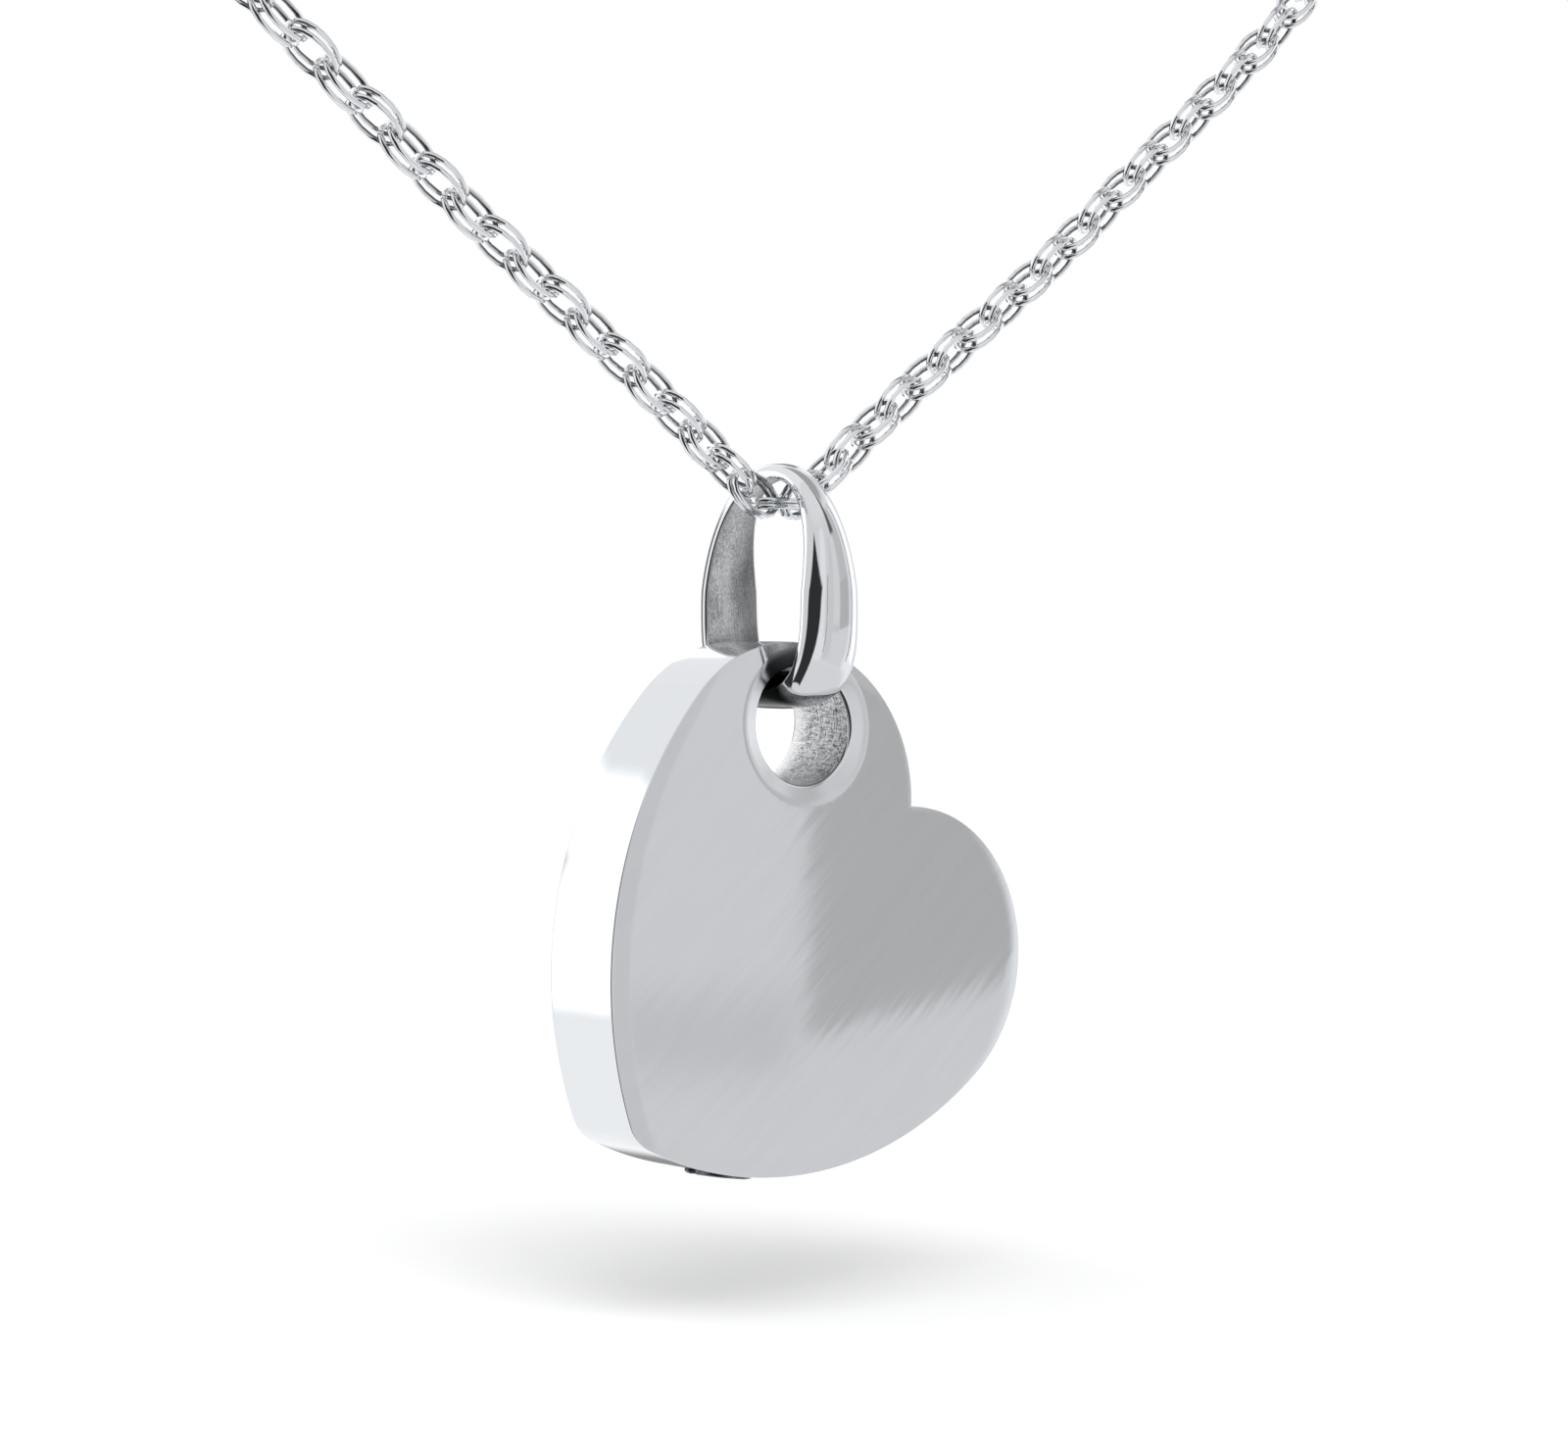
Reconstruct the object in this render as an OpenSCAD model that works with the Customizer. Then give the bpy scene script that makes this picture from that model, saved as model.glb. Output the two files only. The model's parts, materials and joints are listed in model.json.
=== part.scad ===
// Heart keepsake pendant on a rope chain. The heart is a thick steel body with a drilled
// chamber that a slotted screw closes, and it hangs from a tall bail that the chain runs through.
// Z is up and the pendant's face looks along -Y. The origin is the nape, in the middle of the
// clasp. All sizes are in millimetres and all angles in degrees.

/* [Heart] */
// Width of the heart across its two lobes
heart_w = 24; // [22.5:0.5:26]
// Radius of each lobe
lobe_r = 6.95; // [6.6:0.05:7.5]
// How far below the lobes' widest points each flank begins, as an angle of the lobe
flank_start = 4.8; // [0:0.4:10]
// Radius of the long flanks
flank_r = 18.1; // [16:0.1:24]
// Radius of the rounded tip
tip_r = 2; // [1.2:0.1:3]
// Thickness of the heart at its rim
heart_t = 4.3; // [3.8:0.1:6]
// Rise of the front and the back face above the rim
dome_h = 0.4; // [0.1:0.05:0.8]
// Lean of the heart's notch from straight up, as the heart hangs
hang_lean = 47.8; // [40:0.2:56]

/* [Hanging hole] */
// Diameter of the hole
hole_d = 5.3; // [4.8:0.1:5.6]
// Distance of the hole from the heart's centre line
hole_side = 6.9; // [6.5:0.05:7.1]
// Height of the hole above the lobes' centres
hole_up = 2.75; // [2:0.05:2.9]
// Width of the polished slope round each mouth of the hole
sink_w = 0.6; // [0.3:0.05:0.7]
// Depth of that slope at the hole
sink_depth = 0.3; // [0.1:0.05:0.5]

/* [Chamber and screw] */
// Place of the screw round the flank, as an angle below the lobes' centres
screw_place = 50; // [40:0.2:56]
// Diameter of the chamber
chamber_d = 2.1; // [1.5:0.1:2.3]
// Depth of the chamber from the screw's seat
chamber_depth = 11; // [6:0.5:12]
// Diameter of the threaded mouth
thread_d = 2.5; // [2.4:0.1:2.6]
// Depth of the threaded mouth
thread_depth = 3.2; // [2.5:0.1:5]
// Diameter of the screw's head
head_d = 3; // [2.8:0.1:3.5]
// Thickness of the screw's head
head_t = 0.5; // [0.5:0.05:0.9]
// Depth of the flat seat that the head lies in
seat_depth = 0.4; // [0.3:0.05:0.45]
// Width of the screwdriver slot
slot_w = 0.5; // [0.3:0.05:0.7]
// Depth of the screwdriver slot
slot_depth = 0.3; // [0.2:0.05:0.4]

/* [Bail] */
// Height of the bail from its bar to its top
bail_h = 10.95; // [10.6:0.05:13]
// Widest gap between the bail's legs
bail_gap = 6.75; // [6.4:0.05:8]
// Height of the widest gap above the bar's upper face
belly_up = 4.2; // [3.6:0.1:5]
// Width of the legs at the belly
leg_w = 3.1; // [2.6:0.1:3.8]
// Width of the bail at its top
top_w = 1.3; // [1:0.1:2.4]
// Width of the bar that runs through the hole
bar_w = 3.4; // [2.4:0.1:3.5]
// How far right of the hole's centre the bail hangs
bail_side = 0.2; // [0:0.05:0.3]
// Thickness of the legs
leg_t = 0.95; // [0.8:0.05:1.4]
// Thickness of the top
top_t = 0.7; // [0.5:0.05:1]
// Thickness of the bar
bar_t = 0.9; // [0.8:0.05:1.2]

/* [Chain and clasp] */
// Width of the rope chain
chain_d = 1.8; // [1.6:0.1:2]
// Outer diameter of the clasp's ring
clasp_d = 6.4; // [5.5:0.1:7]
// Thickness of the clasp's ring
clasp_wire = 1.5; // [1.2:0.1:2]
// Outer diameter of the clasp's two eyes
eye_d = 3; // [2.6:0.1:3.6]
// Thickness of the eyes' wire
eye_wire = 0.7; // [0.5:0.05:0.9]

/* [Clearances] */
// Gap between the bail's bar and the wall of the hole
bar_gap = 0.16; // [0.14:0.01:0.2]
// Gap between the chain and the bail's top
chain_gap = 0.15; // [0.1:0.01:0.25]
// Gap round the screw's shank
shank_gap = 0.05; // [0.03:0.01:0.08]
// Gap between the screw's head and its seat, and round the head
head_gap = 0.06; // [0.03:0.01:0.1]
// Gap between each end of the chain and its eye
end_gap = 0.15; // [0.1:0.05:0.3]

/* [Hidden] */
$fn = 96;

// Half of the chain's route, from past the clasp to the bail: x, y, z
chain_route = [
    [24, -4, -2], [44, -18, -9], [57, -40, -22], [63, -66, -41], [62, -92, -66], [53, -110, -90],
    [38, -117, -110], [20, -118, -125.5], [8, -118, -134.5], [3, -118, -138.4], [1.2, -118, -139.9],
    [0, -118, -140]
];
ring_pitch = 6.5;
tube_sides = 8;
// Steps along each arc of the heart's outline
lobe_steps = 26;
flank_steps = 20;
tip_steps = 5;
// Rings of each domed face
dome_steps = 10;
// Stations round the bail, and steps over its rounded outside
bail_stations = 48;
crown_steps = 8;
// Fullness of the bail's upper and lower bends and of its rounded outside: 1 is an ellipse, and less is
// squarer
upper_bend = 0.88;
lower_bend = 0.62;
crown_bend = 0.85;
// Half the step over which the bail's direction is taken, and a full turn
half_step = 0.5;
turn = 360;
// Overlap of solids that are one piece, and overshoot of cuts
join = 0.2;

// Heart's own frame: lobes' centres on y = 0, centre line on x = 0
lobe_x = heart_w / 2 - lobe_r;
notch_a = 180 - acos(lobe_x / lobe_r);
flank_c = [lobe_x, 0] - (flank_r - lobe_r) * [cos(flank_start), -sin(flank_start)];
tip_y = flank_c.y - sqrt(pow(flank_r - tip_r, 2) - pow(flank_c.x, 2));
tip_a = atan2(tip_y - flank_c.y, -flank_c.x);
hole_r = hole_d / 2;
dome_r = (pow(heart_w / 2, 2) + pow(dome_h, 2)) / (2 * dome_h);
dome_y = (lobe_r + tip_y - tip_r) / 2;
dome_reach = norm([lobe_x, dome_y]) + lobe_r + join;

// Bail, from the hole's axis: the bar's flat face bears on the hole's upper wall
bar_top = sqrt(pow(hole_r - bar_gap, 2) - pow(bar_w / 2 + bail_side, 2));
bail_in_h = bail_h - bar_t - top_t;
belly_z = bar_top + belly_up;
bail_top = bar_top + bail_in_h;

// The chain's lowest point carries the bail's top
chain_low = chain_route[len(chain_route) - 1];
hole_at = [-bail_side, chain_low.y, chain_low.z - (bail_top - chain_gap - chain_d / 2)];

// Clasp: its eyes reach out from the ring, and the chain starts past them
eye_x = (clasp_d + eye_d) / 2 - eye_wire / 2 - clasp_wire / 2 + join;
chain_start = eye_x + eye_d / 2 + end_gap;

function arc(c, r, a0, a1, n) =
    [for (i = [0:n]) c + r * [cos(a0 + (a1 - a0) * i / n), sin(a0 + (a1 - a0) * i / n)]];
function tail(list) = [for (i = [1:len(list) - 1]) list[i]];
function mirrored(list) = [for (i = [len(list) - 2:-1:1]) [-list[i].x, list[i].y]];

// Right half of the heart from the notch to the tip, then its mirror image
half_heart = concat(
    arc([lobe_x, 0], lobe_r, notch_a, -flank_start, lobe_steps),
    tail(arc(flank_c, flank_r, -flank_start, tip_a, flank_steps)),
    tail(arc([0, tip_y], tip_r, tip_a, -90, tip_steps))
);

// Lays a drawing of the heart's own frame into the pendant, with its depth along Y
module heart_frame() {
    translate(hole_at) rotate([90, 0, 0]) rotate(-hang_lean) translate([hole_side, -hole_up])
        children();
}

// Lays a drawing along the screw's axis: z = 0 is the flank's surface, +z points out of the heart
module screw_frame() {
    heart_frame() translate(flank_c) rotate(-screw_place) translate([flank_r, 0]) rotate([0, 90, 0])
        children();
}

// Height of the domed face above the middle plane, at a distance from the dome's centre
function face(r) = heart_t / 2 + dome_h - dome_r + sqrt(pow(dome_r, 2) - pow(r, 2));

module heart_blank() {
    dome_side = [for (i = [0:dome_steps]) dome_reach * [i / dome_steps, 0]];
    intersection() {
        linear_extrude(heart_t + 2 * dome_h + join, center = true)
            polygon(concat(half_heart, mirrored(half_heart)));
        translate([0, dome_y]) rotate_extrude() polygon(concat(
            [for (p = dome_side) [p.x, -face(p.x)]],
            [for (i = [dome_steps:-1:0]) [dome_side[i].x, face(dome_side[i].x)]]
        ));
    }
}

module hanging_hole() {
    reach = heart_t / 2 + dome_h;
    translate([-hole_side, hole_up]) {
        cylinder(r = hole_r, h = 2 * (reach + join), center = true);
        for (side = [0, 1]) mirror([0, 0, side]) translate([0, 0, heart_t / 2 - sink_depth])
            cylinder(r1 = hole_r, r2 = hole_r + sink_w * (1 + dome_h / sink_depth), h = sink_depth + dome_h);
    }
}

module heart_body() {
    color("silver") difference() {
        heart_frame() difference() {
            heart_blank();
            hanging_hole();
        }
        screw_frame() {
            translate([0, 0, -seat_depth]) cylinder(r = head_d / 2 + head_gap, h = seat_depth + join);
            translate([0, 0, -seat_depth - thread_depth]) cylinder(r = thread_d / 2, h = thread_depth + join);
            translate([0, 0, -seat_depth - chamber_depth]) cylinder(r = chamber_d / 2, h = chamber_depth + join);
        }
    }
}

module stopper_screw() {
    shank_l = thread_depth - 2 * head_gap;
    color("dimgray") screw_frame() translate([0, 0, head_gap - seat_depth]) difference() {
        union() {
            cylinder(r = head_d / 2, h = head_t);
            translate([0, 0, -shank_l]) cylinder(r = thread_d / 2 - shank_gap, h = shank_l + head_t / 2);
        }
        translate([-head_d, -slot_w / 2, head_t - slot_depth]) cube([2 * head_d, slot_w, slot_depth + join]);
    }
}

// Bail's flat inner face in the plane across the heart, a = 0 at the top and 90 at the front leg
function fuller(v, power) = sign(v) * pow(abs(v), power);
function bend(a, v) = fuller(v, cos(a) < 0 ? lower_bend : upper_bend);
function bail_y(a) = -bail_gap / 2 * bend(a, sin(a));
function bail_z(a) = belly_z + (cos(a) < 0 ? belly_up : bail_top - belly_z) * bend(a, cos(a));
// A size that grows or shrinks evenly from the belly of the legs to the top and to the bar
function along(a, top, leg, bar) = leg + ((cos(a) > 0 ? top : bar) - leg) * abs(cos(a));
function outward(a) =
    let (d = [bail_y(a + half_step) - bail_y(a - half_step), bail_z(a + half_step) - bail_z(a - half_step)])
    [d.y, -d.x] / norm(d);

// Half-round section at one station: two points of the flat face, then the rounded outside
function bail_section(a) =
    let (
        w = along(a, top_w, leg_w, bar_w) / 2,
        t = along(a, top_t, leg_t, bar_t),
        n = outward(a),
        flat = [bail_side, bail_y(a), bail_z(a)]
    )
    [for (k = [0:crown_steps])
        let (
            c = turn / 2 * k / crown_steps,
            out = t * fuller(sin(c), crown_bend)
        )
        flat + [w * fuller(cos(c), crown_bend), out * n.x, out * n.y]];

module bail() {
    sections = [for (i = [0:bail_stations - 1]) bail_section(turn * (i + 0.5) / bail_stations)];
    m = crown_steps + 1;
    color("lightgray") translate(hole_at) polyhedron(
        points = [for (s = sections) each s],
        faces = [for (i = [0:bail_stations - 1], k = [0:m - 1])
            let (
                p = i * m,
                q = (i + 1) % bail_stations * m,
                l = (k + 1) % m
            )
            each [[p + k, q + k, q + l], [p + k, q + l, p + l]]]
    );
}

// Chain's whole route: right half from the clasp, then the left half back to it
right_route = concat([[chain_start, 0, 0]], chain_route);
route = concat(right_route, [for (i = [len(right_route) - 2:-1:0])
    [-right_route[i].x, right_route[i].y, right_route[i].z]]);
function route_at(i) =
    i < 0 ? 2 * route[0] - route[1] :
    i >= len(route) ? 2 * route[i - 1] - route[i - 2] : route[i];
// Smooth curve through the route's points, u counts along the points
function curve(u) =
    let (
        i = min(floor(u), len(route) - 2),
        t = u - i,
        a = route_at(i - 1),
        b = route_at(i),
        c = route_at(i + 1),
        d = route_at(i + 2)
    )
    b + (c - a) * t / 2 + (2 * a - 5 * b + 4 * c - d) * pow(t, 2) / 2 + (3 * b - a - 3 * c + d) * pow(t, 3) / 2;
// Places of the rings, about one pitch apart
ring_places = concat(
    [for (i = [0:len(route) - 2])
        let (n = max(1, round(norm(route[i + 1] - route[i]) / ring_pitch)))
        each [for (j = [0:n - 1]) i + j / n]],
    [len(route) - 1]
);

module chain() {
    n = len(ring_places);
    rings = [for (u = ring_places)
        let (
            step = curve(min(u + 0.02, len(route) - 1)) - curve(max(u - 0.02, 0)),
            side = cross(step, [0, 0, 1]) / norm(cross(step, [0, 0, 1])),
            lift = cross(side, step) / norm(step)
        )
        [for (k = [0:tube_sides - 1])
            curve(u) + chain_d / 2 * (cos(turn * (k + 0.5) / tube_sides) * side
                + sin(turn * (k + 0.5) / tube_sides) * lift)]];
    color("gainsboro") polyhedron(
        points = [for (r = rings) each r],
        faces = concat(
            [[for (k = [0:tube_sides - 1]) k]],
            [[for (k = [tube_sides - 1:-1:0]) (n - 1) * tube_sides + k]],
            [for (i = [0:n - 2], k = [0:tube_sides - 1])
                let (
                    p = i * tube_sides,
                    q = p + tube_sides,
                    l = (k + 1) % tube_sides
                )
                each [[p + k, q + k, q + l], [p + k, q + l, p + l]]]
        )
    );
}

module wire_ring(d, wire) {
    rotate([90, 0, 0]) rotate_extrude() translate([(d - wire) / 2, 0]) circle(wire / 2);
}

module clasp() {
    color("silver") {
        wire_ring(clasp_d, clasp_wire);
        for (side = [-1, 1]) translate([side * eye_x, 0, 0]) wire_ring(eye_d, eye_wire);
    }
}

heart_body();
stopper_screw();
bail();
chain();
clasp();
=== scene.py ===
import json
import math

import bmesh
import bpy
import numpy as np
from mathutils import Matrix, Vector


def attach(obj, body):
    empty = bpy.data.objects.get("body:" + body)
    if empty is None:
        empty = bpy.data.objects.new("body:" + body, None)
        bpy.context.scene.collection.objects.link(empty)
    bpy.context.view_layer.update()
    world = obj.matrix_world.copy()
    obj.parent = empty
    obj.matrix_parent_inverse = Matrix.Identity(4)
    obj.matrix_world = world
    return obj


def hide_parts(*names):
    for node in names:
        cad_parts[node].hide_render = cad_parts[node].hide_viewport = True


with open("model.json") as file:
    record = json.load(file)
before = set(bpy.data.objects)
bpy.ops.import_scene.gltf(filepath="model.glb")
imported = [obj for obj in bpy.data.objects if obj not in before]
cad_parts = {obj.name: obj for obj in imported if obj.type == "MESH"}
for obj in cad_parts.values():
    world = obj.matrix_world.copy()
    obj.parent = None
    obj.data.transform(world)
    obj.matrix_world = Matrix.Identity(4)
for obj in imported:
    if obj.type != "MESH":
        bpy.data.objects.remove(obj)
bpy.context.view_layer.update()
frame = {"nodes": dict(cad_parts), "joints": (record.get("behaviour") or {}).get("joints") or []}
print("frame loaded")

# Sizes below are in millimetres and angles in degrees, unless a name says otherwise
mm = 0.001
joints = {joint["name"]: joint for joint in frame["joints"]}
holeAt = np.array(joints["heart_swing"]["pos_m"]) / mm      # axis of the heart's hole, in its middle plane


# Shared helpers for colours, nodes and meshes

def linearColour(hexText):
    # sRGB to linear: c / 12.92 up to 0.04045, else ((c + 0.055) / 1.055) ^ 2.4
    c = np.array([int(hexText[i:i + 2], 16) / 255 for i in (1, 3, 5)])
    linear = np.where(c <= 0.04045, c / 12.92, ((c + 0.055) / 1.055) ** 2.4)
    return (*linear.tolist(), 1.0)


def addNode(tree, kind, inputs=None, **settings):
    # One node with its settings; an input is a plain value, or another node's output to link from
    node = tree.nodes.new(kind)
    for name, value in settings.items():
        setattr(node, name, value)
    for socket, value in (inputs or {}).items():
        if isinstance(value, bpy.types.NodeSocket):
            tree.links.new(value, node.inputs[socket])
        else:
            node.inputs[socket].default_value = value
    return node


def gridFaces(rows, columns, wrapRows=False):
    # Quads between row r and r + 1, column c and c + 1; the columns run round and close
    r = np.arange(rows if wrapRows else rows - 1)[:, None]
    c = np.arange(columns)[None, :]
    r2, c2 = (r + 1) % rows, (c + 1) % columns
    corners = [r * columns + c, r * columns + c2, r2 * columns + c2, r2 * columns + c]
    return np.stack([np.broadcast_to(q, (len(r), columns)) for q in corners], -1).reshape(-1, 4)


def closedShell(rings, firstPole=None, lastPole=None):
    # Rings of points joined by quads, with a fan of triangles to a pole at each open end
    rows, columns = rings.shape[:2]
    points = rings.reshape(-1, 3)
    faces = gridFaces(rows, columns).tolist()
    c = np.arange(columns)
    if firstPole is not None:
        points = np.vstack([points, firstPole])
        tip = np.full(columns, len(points) - 1)
        faces += np.stack([tip, (c + 1) % columns, c], -1).tolist()
    if lastPole is not None:
        points = np.vstack([points, lastPole])
        tip = np.full(columns, len(points) - 1)
        last = (rows - 1) * columns
        faces += np.stack([last + c, last + (c + 1) % columns, tip], -1).tolist()
    return points, faces


def signedVolume(points, faces):
    # Sum over the triangles of each face of a . (b x c) / 6: negative when the faces point inwards
    triangles = np.array([(f[0], f[i], f[i + 1]) for f in faces for i in range(1, len(f) - 1)])
    a, b, c = (points[triangles[:, i]] for i in range(3))
    return np.einsum("ij,ij->i", a, np.cross(b, c)).sum() / 6


def makeObject(name, points, faces, materials, faceMaterial=None):
    # A mesh object at the origin from points in millimetres, with its faces turned outwards
    centred = points - points.mean(0)
    if signedVolume(centred, faces) < 0:
        faces = [f[::-1] for f in faces]
    mesh = bpy.data.meshes.new(name)
    mesh.from_pydata((points * mm).tolist(), [], faces)
    for material in materials:
        mesh.materials.append(material)
    if faceMaterial is not None:
        mesh.polygons.foreach_set("material_index", np.asarray(faceMaterial, np.int32))
    mesh.update()
    piece = bpy.data.objects.new(name, mesh)
    bpy.context.scene.collection.objects.link(piece)
    return piece


def finishPiece(piece, body, slot, creaseAngle, *nodes):
    # Smooth shading that breaks at edges above creaseAngle, then the piece's body and CAD nodes; slot is
    # not used
    piece.data.polygons.foreach_set("use_smooth", np.ones(len(piece.data.polygons), bool))
    piece.data.set_sharp_from_angle(angle=math.radians(creaseAngle))
    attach(piece, body)
    if nodes:
        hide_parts(*nodes)
    return piece


def cutWith(piece, *tools):
    # Subtracts each tool from the piece, keeps the tool's material on the cut, and removes the tool
    for tool in tools:
        cut = piece.modifiers.new("cut", "BOOLEAN")
        cut.operation, cut.solver, cut.object = "DIFFERENCE", "EXACT", tool
        cut.material_mode = "TRANSFER"
    bpy.context.view_layer.update()
    result = bpy.data.meshes.new_from_object(piece.evaluated_get(bpy.context.evaluated_depsgraph_get()))
    piece.modifiers.clear()
    result.name = piece.name
    piece.data = result
    for tool in tools:
        bpy.data.objects.remove(tool)
    return piece


def latheRings(profile, sides):
    # Profile points (r, z) turned round z: (r cos t, r sin t, z)
    r, z = np.asarray(profile, float).T[:, :, None]
    t = 2 * np.pi * np.arange(sides) / sides
    return np.stack([r * np.cos(t), r * np.sin(t), z + 0 * t], -1)


# Materials

noiseLow, noiseHigh = 0.35, 0.65        # most of a noise pattern lies between these


def newSurface(name, colour, roughness, metallic=1.0):
    # A surface with one colour, roughness and metallic; a metal keeps the default IOR
    material = bpy.data.materials.new(name)
    material.use_nodes = True
    tree = material.node_tree
    shader = tree.nodes["Principled BSDF"]
    shader.inputs["Base Color"].default_value = linearColour(colour)
    shader.inputs["Roughness"].default_value = roughness
    shader.inputs["Metallic"].default_value = metallic
    return material, tree, shader


def stretchedNoise(tree, size, turn=(0.0, 0.0, 0.0), detail=3.0, roughness=0.55):
    # Noise on Object coordinates whose features are size millimetres long on each turned axis
    place = addNode(tree, "ShaderNodeTexCoord")
    mapping = addNode(tree, "ShaderNodeMapping", {"Vector": place.outputs["Object"], "Rotation": turn,
                      "Scale": tuple(s * mm for s in size)}, vector_type="TEXTURE")
    noise = addNode(tree, "ShaderNodeTexNoise", {"Vector": mapping.outputs["Vector"], "Scale": 1.0,
                    "Detail": detail, "Roughness": roughness})
    return noise.outputs["Fac"]


def addBump(tree, height, depth, before=None):
    # Bump of a height pattern that is depth millimetres deep
    inputs = {"Height": height, "Distance": depth * mm, "Strength": 1.0}
    if before is not None:
        inputs["Normal"] = before
    return addNode(tree, "ShaderNodeBump", inputs).outputs["Normal"]


def varyRoughness(tree, shader, pattern, low, high):
    # Roughness from low to high over a noise pattern's main range
    spread = addNode(tree, "ShaderNodeMapRange", {"Value": pattern, "From Min": noiseLow,
                     "From Max": noiseHigh, "To Min": low, "To Max": high})
    tree.links.new(spread.outputs["Result"], shader.inputs["Roughness"])


def varyColour(tree, shader, pattern, dark, light, low=noiseLow, high=noiseHigh):
    # Colour from dark to light where the pattern goes from low to high
    ramp = addNode(tree, "ShaderNodeMapRange", {"Value": pattern, "From Min": low, "From Max": high})
    mix = addNode(tree, "ShaderNodeMix", {"Factor": ramp.outputs["Result"], "A": linearColour(dark),
                  "B": linearColour(light)}, data_type="RGBA")
    tree.links.new(mix.outputs["Result"], shader.inputs["Base Color"])


def alongAxis(tree, axis, fromMm, toMm):
    # 0 to 1 in a smooth step between two places on one Object axis, in millimetres
    place = addNode(tree, "ShaderNodeTexCoord")
    split = addNode(tree, "ShaderNodeSeparateXYZ", {"Vector": place.outputs["Object"]})
    step = addNode(tree, "ShaderNodeMapRange", {"Value": split.outputs[axis], "From Min": fromMm * mm,
                   "From Max": toMm * mm}, interpolation_type="SMOOTHSTEP")
    return step.outputs["Result"]


def shade(tree, shader, pattern, colour):
    # Mixes a flat colour over whatever feeds the base colour, where the pattern is 1
    base = shader.inputs["Base Color"]
    below = base.links[0].from_socket if base.links else base.default_value[:]
    mix = addNode(tree, "ShaderNodeMix", {"Factor": pattern, "A": below, "B": linearColour(colour)},
                  data_type="RGBA")
    tree.links.new(mix.outputs["Result"], base)


def scaled(tree, pattern, factor):
    # The pattern times a number or times another pattern
    return addNode(tree, "ShaderNodeMath", {0: pattern, 1: factor}, operation="MULTIPLY").outputs[0]


def added(tree, pattern, other):
    # The sum of two patterns
    return addNode(tree, "ShaderNodeMath", {0: pattern, 1: other}, operation="ADD").outputs[0]


def faceSteel():
    # 316 stainless steel, polished and then drawn over a soft mop from notch to tip: a quiet mirror whose
    # reflections fray along fine straight lines. The mop's lines are about 0.02 mm wide, drawn here at 0.09
    # mm and wider so that they show.
    material, tree, shader = newSurface("moppedSteelFace", "#E1E3E5", 0.08)
    fine = stretchedNoise(tree, (0.09, 2.0, 5.0), heartTurn, detail=4)
    broad = stretchedNoise(tree, (0.7, 4.0, 5.0), heartTurn, detail=1)
    swell = stretchedNoise(tree, (5.0, 8.0, 9.0), heartTurn, detail=1)
    normal = addBump(tree, fine, 0.0002)
    normal = addBump(tree, broad, 0.004, normal)
    normal = addBump(tree, swell, 0.008, normal)
    tree.links.new(normal, shader.inputs["Normal"])
    varyRoughness(tree, shader, fine, 0.05, 0.09)
    varyColour(tree, shader, broad, "#E0E2E4", "#E2E4E6")
    return material


def wallSteel():
    # The same steel buffed on the rim's wheel: a bright mirror with the slow waves that hand buffing leaves
    material, tree, shader = newSurface("buffedSteelWall", "#E6E8EA", 0.06)
    waves = stretchedNoise(tree, (2.5, 4.0, 2.5), heartTurn, detail=1)
    hair = stretchedNoise(tree, (0.5, 0.05, 0.5), heartTurn, detail=3)
    tree.links.new(addBump(tree, waves, 0.006, addBump(tree, hair, 0.0002)), shader.inputs["Normal"])
    varyRoughness(tree, shader, hair, 0.04, 0.09)
    return material


def mouthSteel():
    # The slope round each end of the hole, softened by hand with a felt point: a cloudy half mirror
    material, tree, shader = newSurface("feltedSteelMouth", "#E2E4E6", 0.2)
    cloud = stretchedNoise(tree, (1.5, 1.5, 1.5), detail=1)
    tree.links.new(addBump(tree, cloud, 0.005), shader.inputs["Normal"])
    varyRoughness(tree, shader, cloud, 0.17, 0.23)
    return material


def boredSteel():
    # Steel as drilled and reamed: crossed short scratches and pits that scatter the light in sparkles, with
    # a painted highlight that makes the back end of the bore white, and greyer towards the bottom.
    # The scratches and pits are about 0.03 mm wide, drawn at 0.07 to 0.12 mm so that they show.
    material, tree, shader = newSurface("reamedSteelBore", "#C4C6C8", 0.3)
    rings = stretchedNoise(tree, (0.5, 0.07, 0.5), heartTurn, detail=4, roughness=0.7)
    drawn = stretchedNoise(tree, (0.08, 0.5, 0.08), heartTurn, detail=4, roughness=0.7)
    pits = stretchedNoise(tree, (0.12, 0.12, 0.12), heartTurn, detail=3, roughness=0.7)
    grit = added(tree, added(tree, rings, drawn), pits)
    tree.links.new(addBump(tree, drawn, 0.03, addBump(tree, rings, 0.03)), shader.inputs["Normal"])
    varyRoughness(tree, shader, rings, 0.16, 0.38)
    varyColour(tree, shader, grit, "#484B4E", "#F4F5F6", 1.28, 1.64)
    bottom = alongAxis(tree, "Z", holeAt[2] - 1.0, holeAt[2] - 2.6)
    shade(tree, shader, scaled(tree, bottom, 0.5), "#6E7174")
    # painted highlight: the back end of the bore is painted white
    back = alongAxis(tree, "Y", holeAt[1] + 0.6, holeAt[1] + 2.1)
    shade(tree, shader, back, "#FFFFFF")
    return material


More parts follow.
